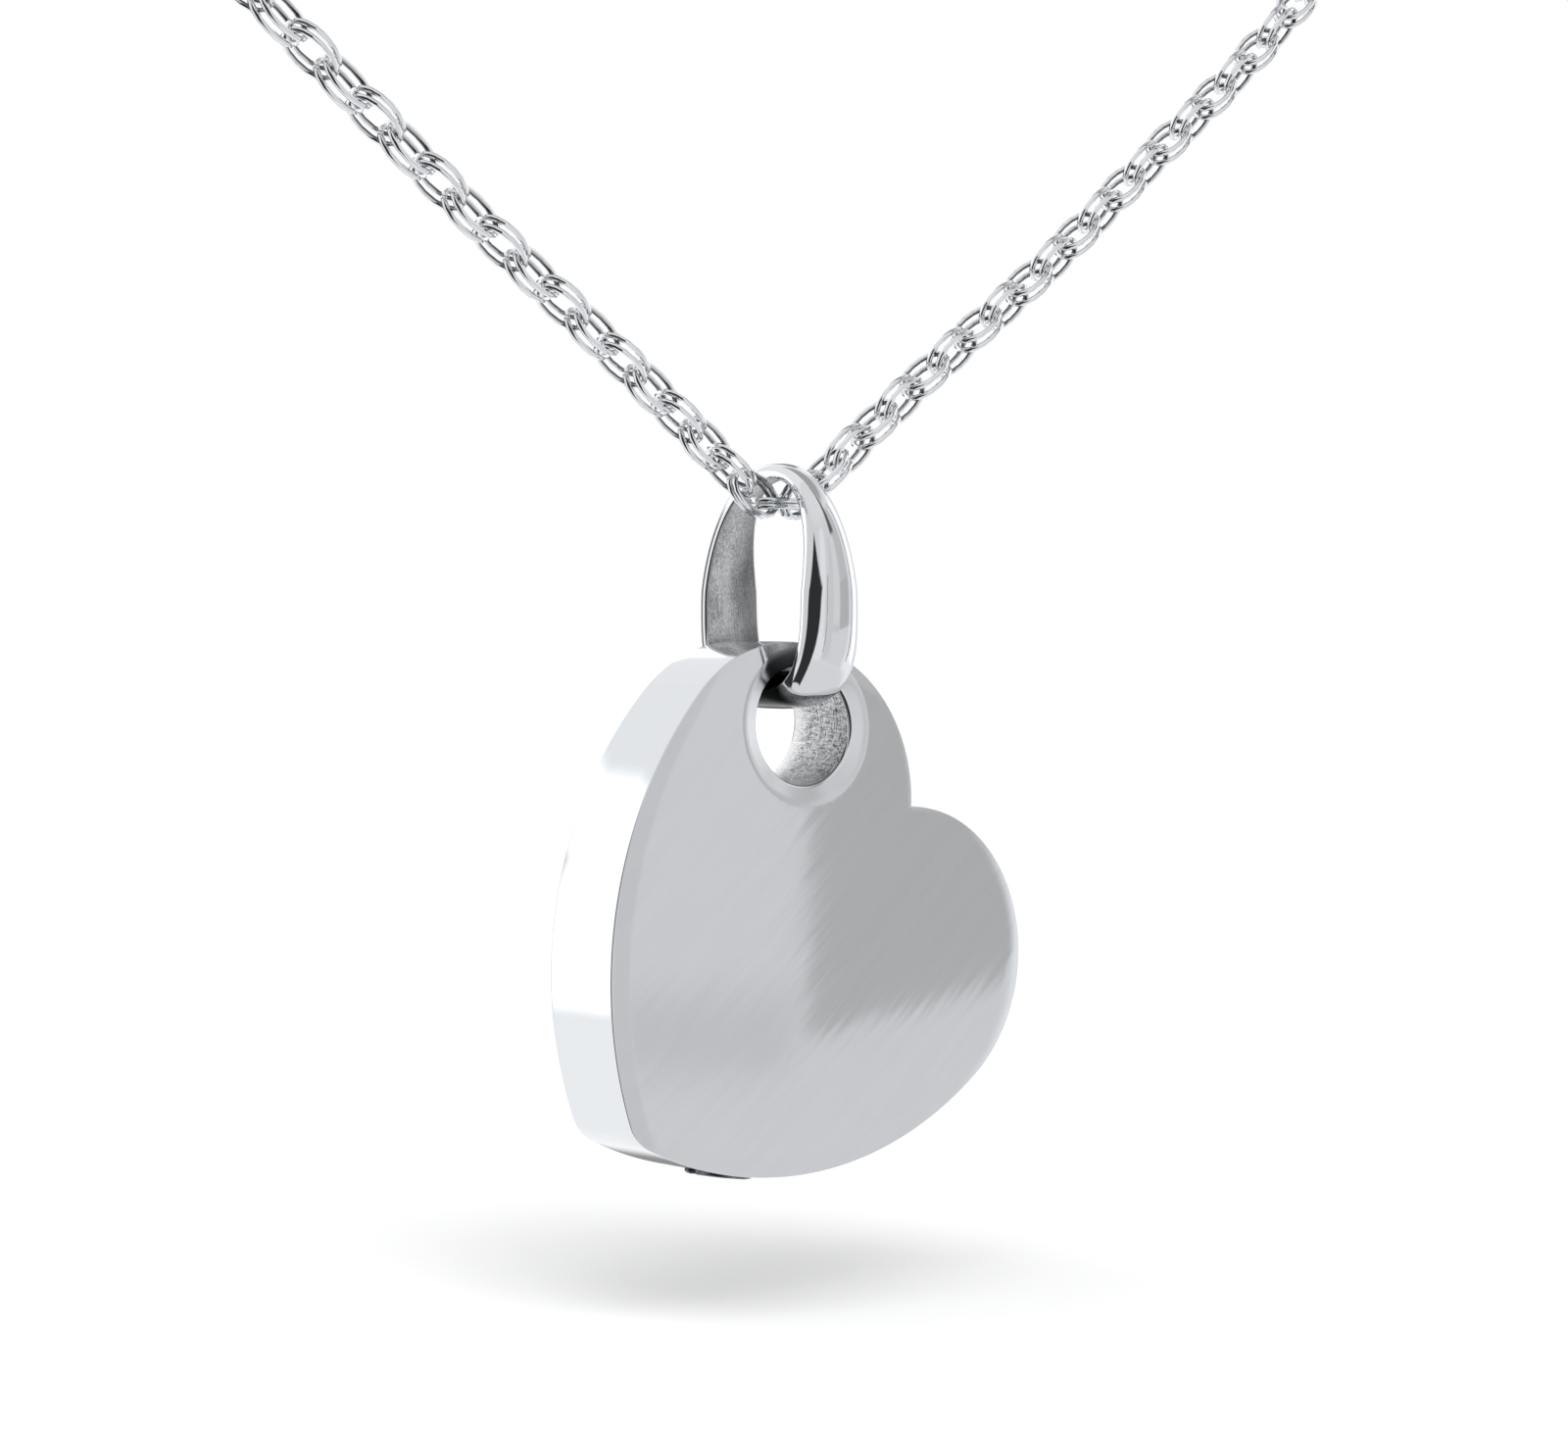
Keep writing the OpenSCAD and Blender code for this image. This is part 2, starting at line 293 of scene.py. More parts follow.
def bailSteel():
    # Cast steel, ground and polished by hand on the outside: a full mirror, slightly wavy along the legs.
    # Painted shade makes the bar that runs through the heart dark, darkest on its left.
    material, tree, shader = newSurface("polishedSteelBail", "#E6E8EA", 0.05)
    pastFront = alongAxis(tree, "Y", holeAt[1] - 2.5, holeAt[1] - 1.9)
    beforeBack = alongAxis(tree, "Y", holeAt[1] + 2.5, holeAt[1] + 1.9)
    belowTop = alongAxis(tree, "Z", holeAt[2] + 3.5, holeAt[2] + 2.5)
    # painted shade on the bar inside the hole: dark grey, near black on its left
    inHole = scaled(tree, scaled(tree, pastFront, beforeBack), belowTop)
    shade(tree, shader, scaled(tree, inHole, 0.75), "#55585B")
    leftSide = alongAxis(tree, "X", holeAt[0] + 0.6, holeAt[0] - 1.2)
    shade(tree, shader, scaled(tree, inHole, leftSide), "#131415")
    waves = stretchedNoise(tree, (1.2, 1.2, 3.5), detail=1)
    hair = stretchedNoise(tree, (0.06, 0.06, 0.9), detail=3)
    tree.links.new(addBump(tree, waves, 0.004, addBump(tree, hair, 0.0002)), shader.inputs["Normal"])
    varyRoughness(tree, shader, hair, 0.03, 0.08)
    return material


def castSteel():
    # The bail's inside as it left the mould and the pickle: grey satin with fine sand grain, clouds of
    # rubbed metal and a few lines of filing along the leg. Painted shade makes it darker on its right and
    # low on the leg, and nearly black round the bar, between the leg and the heart's face. The sand is
    # about 0.1 mm.
    material, tree, shader = newSurface("castSteelInside", "#B4B6B9", 0.36)
    grain = stretchedNoise(tree, (0.08, 0.08, 0.11), detail=3, roughness=0.65)
    filing = stretchedNoise(tree, (0.06, 0.06, 1.6), detail=3)
    cloud = stretchedNoise(tree, (1.0, 1.0, 2.0), detail=3)
    tree.links.new(addBump(tree, filing, 0.008, addBump(tree, grain, 0.014)), shader.inputs["Normal"])
    varyRoughness(tree, shader, cloud, 0.3, 0.42)
    mixed = added(tree, added(tree, grain, scaled(tree, filing, 0.5)), scaled(tree, cloud, 0.8))
    varyColour(tree, shader, mixed, "#8A8D90", "#FFFFFF", 0.85, 1.4)
    # painted shade: darker on the right side and low on the leg
    rightSide = alongAxis(tree, "X", holeAt[0] - 0.5, holeAt[0] + 1.2)
    shade(tree, shader, scaled(tree, rightSide, 0.75), "#55585B")
    lowLeg = alongAxis(tree, "Z", holeAt[2] + 4.6, holeAt[2] + 3.2)
    shade(tree, shader, scaled(tree, lowLeg, 0.6), "#4A4D50")
    # painted shade: nearly black round the bar
    bar = alongAxis(tree, "Z", holeAt[2] + 3.9, holeAt[2] + 2.3)
    shade(tree, shader, bar, "#141516")
    return material


def wireSteel():
    # Drawn stainless wire, tumbled bright with steel shot after the links were closed: a mirror outside,
    # and painted shade, dark grey, on the inside of each link
    material, tree, shader = newSurface("tumbledSteelWire", "#E6E8EA", 0.05)
    tumbled = stretchedNoise(tree, (0.25, 0.25, 0.25), detail=2)
    tree.links.new(addBump(tree, tumbled, 0.001), shader.inputs["Normal"])
    # painted shade on the side of the wire that faces its link's middle
    inner = addNode(tree, "ShaderNodeAttribute", attribute_name="inner").outputs["Fac"]
    varyColour(tree, shader, inner, "#EDEFF1", "#232528", 0.45, 1.0)
    return material


def screwSteel(axisTurn):
    # Turned steel screw, left as it came off the lathe, its colour darkened as painted shade for the dark
    # it
    # reflects below the heart: dark satin with fine rings round its axis, 0.06 mm apart
    # dark base colour: painted shade
    material, tree, shader = newSurface("turnedSteelScrew", "#7C7F83", 0.3)
    rings = stretchedNoise(tree, (0.8, 0.8, 0.06), axisTurn, detail=3)
    patch = stretchedNoise(tree, (0.5, 0.5, 0.5), axisTurn, detail=2)
    tree.links.new(addBump(tree, rings, 0.004), shader.inputs["Normal"])
    varyRoughness(tree, shader, rings, 0.22, 0.4)
    varyColour(tree, shader, patch, "#5A5D61", "#8F9296")
    return material


def claspSteel():
    # Bent stainless rod, ground and barrel polished: bright, with soft dimples from the barrel
    material, tree, shader = newSurface("barrelPolishedClasp", "#E3E5E7", 0.1)
    dimples = stretchedNoise(tree, (0.6, 0.6, 0.6), detail=2)
    tree.links.new(addBump(tree, dimples, 0.004), shader.inputs["Normal"])
    varyRoughness(tree, shader, dimples, 0.07, 0.14)
    return material


# Heart

heart = {
    "width": 24.0,
    "lobeRadius": 6.95,
    "flankStart": 4.8,          # below the lobe's widest point
    "flankRadius": 18.1,
    "tipRadius": 2.0,
    "thickness": 4.3,           # at the rim
    "domeRise": 0.4,
    "lean": 47.8,               # how far the heart turns about its hole from upright
    "holeRadius": 2.65,
    "holeSide": 6.9,            # the hole's middle, to the left of the heart's own middle line
    "holeUp": 2.75,             # and above the lobes' centres
    "mouthWidth": 0.95,         # buffed slope round each end of the hole
    "mouthSlope": 17.5,
    "mouthFade": 0.3,           # part of that width over which the slope runs out into the face
    "mouthExit": 3.0,           # slope that is left at the face
    "mouthOver": 1.3,           # how far the cut runs on, in mouth widths
    "mouthRound": 0.13,         # where the slope turns into the bore
    "cornerRadius": 0.06,       # where face meets wall
    "rollWidth": 1.0,           # soft band of the face inside that corner
    "rollSlope": 6.5,
    "stations": (70, 66, 9, 13),    # along a lobe, a flank, half the tip, and the fan of the notch
    "faceMiddle": (0.0, -3.0),  # where the face's rings shrink to
    "faceRings": 25,
    "rollRings": 11,
    "cornerRings": 15,
    "wallRings": (0.6, 0.2, -0.2, -0.6),    # as shares of half the wall's height
    "mouthRings": (15, 26),     # on the round and on the slope
    "boreRings": (0.5, 0.0, -0.5),          # as shares of half the bore's depth
    "boreSides": 144,
    "creaseAngle": 8,
}

heartTurn = (0.0, math.radians(heart["lean"]), 0.0)     # turns the patterns with the heart's lean


def heartToFrame(points):
    # Heart's own x, y and depth to the frame: shifted to the hole, leaned, then stood up facing -Y
    a = math.radians(-heart["lean"])
    x = points[..., 0] + heart["holeSide"]
    y = points[..., 1] - heart["holeUp"]
    turned = [x * math.cos(a) - y * math.sin(a), -points[..., 2], x * math.sin(a) + y * math.cos(a)]
    return np.stack(turned, -1) + holeAt


def heartArcs():
    # Centres and end angles of the right half's three arcs, each touching the next
    h = heart
    lobe = np.array([h["width"] / 2 - h["lobeRadius"], 0.0])
    start = math.radians(h["flankStart"])
    flank = lobe - (h["flankRadius"] - h["lobeRadius"]) * np.array([math.cos(start), -math.sin(start)])
    tip = np.array([0.0, flank[1] - math.sqrt((h["flankRadius"] - h["tipRadius"]) ** 2 - flank[0] ** 2)])
    notch = math.pi - math.acos(lobe[0] / h["lobeRadius"])
    turn = math.atan2(tip[1] - flank[1], -flank[0])
    return lobe, flank, tip, notch, -start, turn


def heartOutline():
    # Clockwise outline c + r (cos a, sin a) and its outward normal (cos a, sin a): lobe, flank and tip,
    # their mirror image, and at the notch's one point a fan of normals from one lobe's to the other's
    h = heart
    lobe, flank, tip, notch, start, turn = heartArcs()
    nLobe, nFlank, nTip, nFan = h["stations"]
    angles = np.concatenate([np.linspace(notch, start, nLobe), np.linspace(start, turn, nFlank)[1:],
                             np.linspace(turn, -math.pi / 2, nTip)[1:]])
    arc = np.repeat([0, 1, 2], [nLobe, nFlank - 1, nTip - 1])
    centres = np.stack([lobe, flank, tip])[arc]
    radii = np.array([h["lobeRadius"], h["flankRadius"], h["tipRadius"]])[arc]
    normal = np.stack([np.cos(angles), np.sin(angles)], -1)
    right = centres + radii[:, None] * normal
    mirror = np.array([-1.0, 1.0])
    fan = np.linspace(math.pi - notch, notch, nFan + 2)[1:-1]
    fanNormal = np.stack([np.cos(fan), np.sin(fan)], -1)
    points = np.concatenate([right, right[-2::-1] * mirror, np.repeat(right[:1], nFan, 0)])
    normals = np.concatenate([normal, normal[-2::-1] * mirror, fanNormal])
    return points, normals


def heartFace(xy):
    # Height of the domed face: a sphere's cap whose rim has the heart's half width
    h = heart
    half = h["width"] / 2
    radius = (half ** 2 + h["domeRise"] ** 2) / (2 * h["domeRise"])
    tipY = heartArcs()[2][1]
    centre = np.array([0.0, (h["lobeRadius"] + tipY - h["tipRadius"]) / 2])
    r2 = ((xy - centre) ** 2).sum(-1)
    return h["thickness"] / 2 + h["domeRise"] - radius + np.sqrt(radius ** 2 - r2)


def heartBlank(materials):
    # Rows run from the front's middle outwards, over the rolled rim, down the wall and back in behind.
    # Inner rows scale the inset outline to the middle; rim rows are the outline moved inwards by d.
    # The roll is a parabola: drop = slope (width - d)^2 / 2 (width - dEnd), and the corner an arc below it.
    h = heart
    outline, normals = heartOutline()
    middle = np.array(h["faceMiddle"])
    slope = math.tan(math.radians(h["rollSlope"]))
    arcEnd = math.radians(90 - h["rollSlope"])
    dEnd = h["cornerRadius"] * (1 - math.cos(arcEnd))

    def inset(d):
        return outline - d * normals

    def rolled(d):
        drop = slope * (h["rollWidth"] - d) ** 2 / (2 * (h["rollWidth"] - dEnd))
        return heartFace(inset(d)) - drop

    rows = []
    for t in np.linspace(1 / h["faceRings"], 1, h["faceRings"] + 1)[:-1]:
        flat = middle + t * (inset(h["rollWidth"]) - middle)
        rows.append(np.column_stack([flat, heartFace(flat)]))
    for d in np.linspace(h["rollWidth"], dEnd, h["rollRings"] + 1)[:-1]:
        rows.append(np.column_stack([inset(d), rolled(d)]))
    wallTop = rolled(dEnd) - h["cornerRadius"] * math.sin(arcEnd)
    wallTop[-h["stations"][3]:] = wallTop[0]    # the notch's fan ends in one point
    for a in np.linspace(arcEnd, 0, h["cornerRings"]):
        d = h["cornerRadius"] * (1 - math.cos(a))
        rows.append(np.column_stack([inset(d), wallTop + h["cornerRadius"] * math.sin(a)]))
    front = np.stack(rows)
    wall = np.stack([np.column_stack([outline, wallTop * k]) for k in h["wallRings"]])
    back = front[::-1] * np.array([1, 1, -1])
    rings = np.concatenate([front, wall, back])
    pole = np.array([*middle, heartFace(middle)])
    points, faces = closedShell(heartToFrame(rings), heartToFrame(pole), heartToFrame(pole * [1, 1, -1]))
    # The wall's finish begins and ends half way round the corners
    halfCorner = (h["cornerRings"] + 1) // 2
    wallFrom = len(front) - halfCorner
    wallTo = len(front) + len(wall) + halfCorner - 1
    row = np.arange(len(rings) - 1)
    isWall = np.repeat((row >= wallFrom) & (row < wallTo), rings.shape[1])
    faceMaterial = np.concatenate([isWall, np.zeros(len(faces) - len(isWall), bool)])
    piece = makeObject("heart", points, faces, materials, faceMaterial)
    mergeDoubles(piece)
    return piece


def mergeDoubles(piece):
    # Joins the notch's coincident points, less than 0.00002 mm apart, so that its wall is one clean crease
    bm = bmesh.new()
    bm.from_mesh(piece.data)
    bmesh.ops.remove_doubles(bm, verts=bm.verts, dist=0.00002 * mm)
    bm.to_mesh(piece.data)
    bm.free()


def holeTool(boreMaterial, mouthMaterial):
    # Bore with a mouth at each end that follows the rolled face: at r - r0 = x it lies below the face by
    # the sum of tan(slope) from x to the width, and within x < e another e - sqrt(e^2 - (e - x)^2), a
    # quarter round down to the bore. The slope is steady, then runs out to the exit slope over the fade.
    h = heart
    lobe = heartArcs()[0] * np.array([-1, 1])
    e, width = h["mouthRound"], h["mouthWidth"]
    nRound, nSlope = h["mouthRings"]
    turn = np.radians(np.linspace(0, 90, nRound))
    x = np.concatenate([e * (1 - np.cos(turn)), np.linspace(e, h["mouthOver"] * width, nSlope + 1)[1:]])
    extra = np.concatenate([e * (1 - np.sin(turn)), np.zeros(nSlope)])[:, None]
    angle = np.interp(x, [width - h["mouthFade"], width], [h["mouthSlope"], h["mouthExit"]])
    slope = np.tan(np.radians(angle))
    climb = np.concatenate([[0], np.cumsum((slope[1:] + slope[:-1]) / 2 * np.diff(x))])
    below = (np.interp(width, x, climb) - climb)[:, None]
    x = x[:, None]
    t = 2 * np.pi * np.arange(h["boreSides"])[None, :] / h["boreSides"]
    r = h["holeRadius"] + x
    xy = np.stack([r * np.cos(t) - h["holeSide"], r * np.sin(t) + h["holeUp"]], -1)
    fromRim = h["lobeRadius"] - np.linalg.norm(xy - lobe, axis=-1)
    roll = math.tan(math.radians(h["rollSlope"]))
    drop = roll * np.clip(h["rollWidth"] - fromRim, 0, h["rollWidth"]) ** 2 / (2 * h["rollWidth"])
    z = heartFace(xy) - drop - below - extra
    mouth = np.concatenate([xy, z[..., None]], -1)
    lid = mouth[-1:] * np.array([1, 1, 0]) + np.array([0, 0, h["thickness"]])
    bore = np.stack([mouth[0] * np.array([1, 1, k]) for k in h["boreRings"]])
    flip = np.array([1, 1, -1])
    rings = np.concatenate([lid, mouth[::-1], bore, mouth * flip, lid * flip])
    end = np.array([-h["holeSide"], h["holeUp"], h["thickness"]])
    points, faces = closedShell(heartToFrame(rings), heartToFrame(end), heartToFrame(end * flip))
    row = np.arange(len(rings) - 1)
    isMouth = np.repeat((row < len(mouth)) | (row > len(mouth) + len(bore)), rings.shape[1])
    isMouth = np.concatenate([isMouth, np.ones(len(faces) - len(isMouth), bool)])
    return makeObject("holeTool", points, faces, [boreMaterial, mouthMaterial], isMouth)


# Stopper screw and its chamber

stopper = {
    "place": 50.0,              # round the flank, below the lobes' centres
    "headDiameter": 3.0,
    "headThickness": 0.5,
    "headEdge": 0.12,           # rounded edge of the head
    "headChamfer": 0.03,        # on the head's underside
    "headRings": (0.5, 1.0),    # radii of the rings of points on the head's flat top
    "threadDiameter": 2.5,
    "threadPitch": 0.45,
    "threadDepth": 0.2,
    "threadLength": 3.08,
    "threadFade": (0.25, 0.3),  # lengths over which the thread fades at the head and at the tip
    "tipTaper": 0.16,           # how much thinner the shank gets over the second of them
    "shankGap": 0.05,
    "seatDepth": 0.4,
    "seatGap": 0.06,
    "mouthDepth": 3.2,
    "chamberDiameter": 2.1,
    "chamberDepth": 11.0,
    "slotWidth": 0.5,
    "slotDepth": 0.3,
    "slotReach": 2.5,           # half the length of the bar that cuts the slot
    "drillPoint": 0.5,          # the cone that ends the chamber
    "cutAbove": 0.6,            # how far outside the flank the seat's cut starts
    "chamberSides": 64,
    "screwSides": 48,
    "edgeRings": 6,
    "threadRings": 99,
    "creaseAngle": 30,
}


def screwToFrame(points):
    # x across, y through the heart's depth, z out of the flank: turned by the screw's place on the arc
    a = math.radians(-stopper["place"])
    flank = heartArcs()[1]
    out = heart["flankRadius"] + points[..., 2]
    x = flank[0] + out * math.cos(a) + points[..., 0] * math.sin(a)
    y = flank[1] + out * math.sin(a) - points[..., 0] * math.cos(a)
    return heartToFrame(np.stack([x, y, points[..., 1]], -1))


def chamberTool(material):
    # Seat, threaded mouth and chamber as one turned solid along the screw's axis
    s = stopper
    seat = s["headDiameter"] / 2 + s["seatGap"]
    thread = s["threadDiameter"] / 2
    bore = s["chamberDiameter"] / 2
    end = -s["seatDepth"] - s["chamberDepth"]
    shoulder = -s["seatDepth"] - s["mouthDepth"]
    profile = [[seat, s["cutAbove"]], [seat, -s["seatDepth"]], [thread, -s["seatDepth"]],
               [thread, shoulder], [bore, shoulder], [bore, end]]
    rings = latheRings(profile, s["chamberSides"])
    poles = np.array([[0, 0, s["cutAbove"]], [0, 0, end - s["drillPoint"]]])
    points, faces = closedShell(screwToFrame(rings), screwToFrame(poles[0]), screwToFrame(poles[1]))
    return makeObject("chamberTool", points, faces, [material])


def stopperScrew(material):
    # Head and shank as rings round the axis; below the head the radius follows the thread,
    # r = outer - depth |2 frac(z / pitch - t / 2 pi) - 1|, which fades out over about half a turn at each
    # end, and the tip tapers
    s = stopper
    head, edge = s["headDiameter"] / 2, s["headEdge"]
    bend = np.radians(np.linspace(90, 0, s["edgeRings"]))
    flatTop = [[radius, s["headThickness"]] for radius in s["headRings"]]
    rounded = np.column_stack([head - edge + edge * np.cos(bend),
                               s["headThickness"] - edge + edge * np.sin(bend)])
    outer = s["threadDiameter"] / 2 - s["shankGap"]
    chamfer = s["headChamfer"]
    under = [[head, chamfer], [head - chamfer, 0.0], [outer, 0.0]]
    sides = s["screwSides"]
    headRings = latheRings(np.concatenate([flatTop, rounded, under]), sides)
    z = np.linspace(0, -s["threadLength"], s["threadRings"] + 1)[1:, None]
    t = 2 * np.pi * np.arange(sides)[None, :] / sides
    wave = np.abs(2 * np.mod(z / s["threadPitch"] - t / (2 * np.pi), 1) - 1)
    fromHead = np.clip(-z / s["threadFade"][0], 0, 1)
    fromTip = np.clip((z + s["threadLength"]) / s["threadFade"][1], 0, 1)
    r = outer - s["threadDepth"] * wave * fromHead * fromTip - s["tipTaper"] * (1 - fromTip)
    thread = np.stack([r * np.cos(t), r * np.sin(t), z + 0 * t], -1)
    lift = np.array([0, 0, s["seatGap"] - s["seatDepth"]])
    rings = np.concatenate([headRings, thread]) + lift
    poles = np.array([[0, 0, s["headThickness"]], [0, 0, -s["threadLength"]]]) + lift
    points, faces = closedShell(screwToFrame(rings), screwToFrame(poles[0]), screwToFrame(poles[1]))
    screw = makeObject("stopperScrew", points, faces, [material])
    return cutWith(screw, slotTool(material, lift[2]))


def slotTool(material, lift):
    # A long bar across the head, as wide as the slot; its four-sided section runs along x and reaches well
    # above the head
    s = stopper
    half = s["slotWidth"] / 2
    floor = s["headThickness"] - s["slotDepth"] + lift
    above = floor + 1
    section = np.array([[-half, floor], [half, floor], [half, above], [-half, above]])
    ends = np.array([-s["slotReach"], s["slotReach"]])
    rings = np.stack([np.column_stack([np.full(len(section), x), section]) for x in ends])
    poles = np.column_stack([ends, np.zeros(2), np.full(2, (floor + above) / 2)])
    points, faces = closedShell(rings, poles[0], poles[1])
    return makeObject("slotTool", screwToFrame(points), faces, [material])


# Bail

bail = {
    "height": 10.95,
    "gap": 6.75,                # widest, between the legs
    "bellyUp": 4.2,             # height of the widest place above the bar
    "legWidth": 3.1,
    "topWidth": 1.3,
    "barWidth": 3.4,
    "legThickness": 0.95,
    "topThickness": 0.7,
    "barThickness": 0.9,
    "side": 0.2,
    "barGap": 0.16,
    "upperBend": 0.88,          # 1 is an ellipse, less is squarer
    "lowerBend": 0.62,
    "crownBend": 0.85,
    "edge": 0.15,               # rounding between the inside and the round outside
    "legSwell": 0.1,            # how far the inside bulges at the legs
    "barSwell": 0.8,            # the same at the bar, which so fills the top of the hole
    "stations": 180,
    "columns": (13, 5, 24),     # over the inside, each rounded edge and the crown
    "creaseAngle": 40,
}


def bailMesh(polished, cast):
    # Ring of half-round sections. The inside follows y = gap/2 |sin a|^p and z = belly + rise |cos a|^p;
    # each section is that inside, which bulges by (legSwell |sin a| + barSwell (-cos a)^6) (1 - x^2), a
    # small round at both its edges, and the outside x = w cos^q c, out = t sin^q c with the crown's bend q.
    b = bail
    barTop = math.sqrt((heart["holeRadius"] - b["barGap"]) ** 2 - (b["barWidth"] / 2 + b["side"]) ** 2)
    belly = barTop + b["bellyUp"]
    top = barTop + b["height"] - b["barThickness"] - b["topThickness"]

    def path(a):
        power = np.where(np.cos(a) < 0, b["lowerBend"], b["upperBend"])
        rise = np.where(np.cos(a) < 0, b["bellyUp"], top - belly)
        y = -b["gap"] / 2 * np.sign(np.sin(a)) * np.abs(np.sin(a)) ** power
        z = belly + rise * np.sign(np.cos(a)) * np.abs(np.cos(a)) ** power
        return np.stack([y, z], -1)

    def along(a, topSize, leg, bar):
        end = np.where(np.cos(a) > 0, topSize, bar)
        return leg + (end - leg) * np.abs(np.cos(a))

    a = 2 * np.pi * (np.arange(b["stations"]) + 0.5) / b["stations"]
    flat = path(a)
    near = math.radians(0.5)
    step = path(a + near) - path(a - near)
    outward = np.stack([step[:, 1], -step[:, 0]], -1) / np.linalg.norm(step, axis=1)[:, None]
    w = along(a, b["topWidth"], b["legWidth"], b["barWidth"])[:, None] / 2
    t = along(a, b["topThickness"], b["legThickness"], b["barThickness"])[:, None]
    e = b["edge"]
    q = b["crownBend"]
    start = np.arcsin((e / t) ** (1 / q))
    shoulder = w * np.cos(start) ** q - e
    nInside, nEdge, nCrown = b["columns"]
    inner = np.linspace(-1, 1, nInside)[None, :]
    swell = b["legSwell"] * np.abs(np.sin(a)) + b["barSwell"] * np.clip(-np.cos(a), 0, 1) ** 6
    bulge = swell[:, None] * (1 - inner ** 2)
    corner = np.radians(np.linspace(-90, 0, nEdge + 1))[None, 1:]
    crown = start + (np.pi - 2 * start) * np.linspace(0, 1, nCrown + 2)[None, 1:-1]
    across = np.concatenate([shoulder * inner, shoulder + e * np.cos(corner),
                             w * np.sign(np.cos(crown)) * np.abs(np.cos(crown)) ** q,
                             -shoulder - e * np.cos(corner[:, ::-1])], 1)
    depth = np.concatenate([-bulge, e + e * np.sin(corner) + 0 * w, t * np.sin(crown) ** q,
                            e + e * np.sin(corner[:, ::-1]) + 0 * w], 1)
    rings = np.stack([b["side"] + across, flat[:, :1] + depth * outward[:, :1],
                      flat[:, 1:] + depth * outward[:, 1:]], -1) + holeAt
    rows, columns = rings.shape[:2]
    isCast = np.tile(np.arange(columns) < nInside - 1, rows)
    return makeObject("bailLoop", rings.reshape(-1, 3), gridFaces(rows, columns, True).tolist(),
                      [polished, cast], isCast)


# Chain

chain = {
    "route": [(24, -4, -2), (44, -18, -9), (57, -40, -22), (63, -66, -41), (62, -92, -66),
              (53, -110, -90), (38, -117, -110), (20, -118, -125.5), (8, -118, -134.5),
              (3, -118, -138.4), (1.2, -118, -139.9), (0, -118, -140)],
    "routeSteps": 12000,        # short straight steps that the smooth route is measured in
    "start": 5.45,              # the route's first point, past the clasp's eye
    "hook": 4.63,               # where the end link's bend lies inside the eye
    "pairs": 253,               # doubled links; a single link at each end joins the clasp
    "linkLength": 3.0,
    "linkWidth": 1.8,
    "fullness": 2.1,            # 2 is an ellipse, more is squarer at the ends
    "wire": 0.27,
    "pairGap": 0.56,            # between the middle planes of a pair's two links
    "pinch": 0.5,               # how much closer the two links of a pair lie in the bail
    "pinched": 1.5,             # steps over which that fades
    "crowding": 0.2,            # how much shorter the steps are in the bail than elsewhere
    "crowded": 3.0,             # steps over which that fades
    "lowRoll": 18.0,            # how far the pairs beside the bail roll from straight
    "farRoll": 90.0,            # the same at the clasp
    "sides": 16,                # round a link
    "wireSides": 6,
    "creaseAngle": 80,
}


def chainLine():
    # Catmull-Rom curve through the route and its mirror image: b + (c - a) t / 2
    # + (2a - 5b + 4c - d) t^2 / 2 + (3b - a - 3c + d) t^3 / 2, with a straight lead into each eye
    half = np.array([(chain["start"], 0, 0), *chain["route"]], float)
    route = np.concatenate([half, half[-2::-1] * np.array([-1, 1, 1])])
    ends = np.concatenate([[2 * route[0] - route[1]], route, [2 * route[-1] - route[-2]]])
    u = np.linspace(0, len(route) - 1, chain["routeSteps"] + 1)
    i = np.minimum(u.astype(int), len(route) - 2)
    t = (u - i)[:, None]
    a, b, c, d = (ends[i + k] for k in range(4))
    line = (b + (c - a) * t / 2 + (2 * a - 5 * b + 4 * c - d) * t ** 2 / 2
            + (3 * b - a - 3 * c + d) * t ** 3 / 2)
    lead = np.array([[chain["hook"], 0, 0]])
    return np.concatenate([lead, line, lead * np.array([-1, 1, 1])])


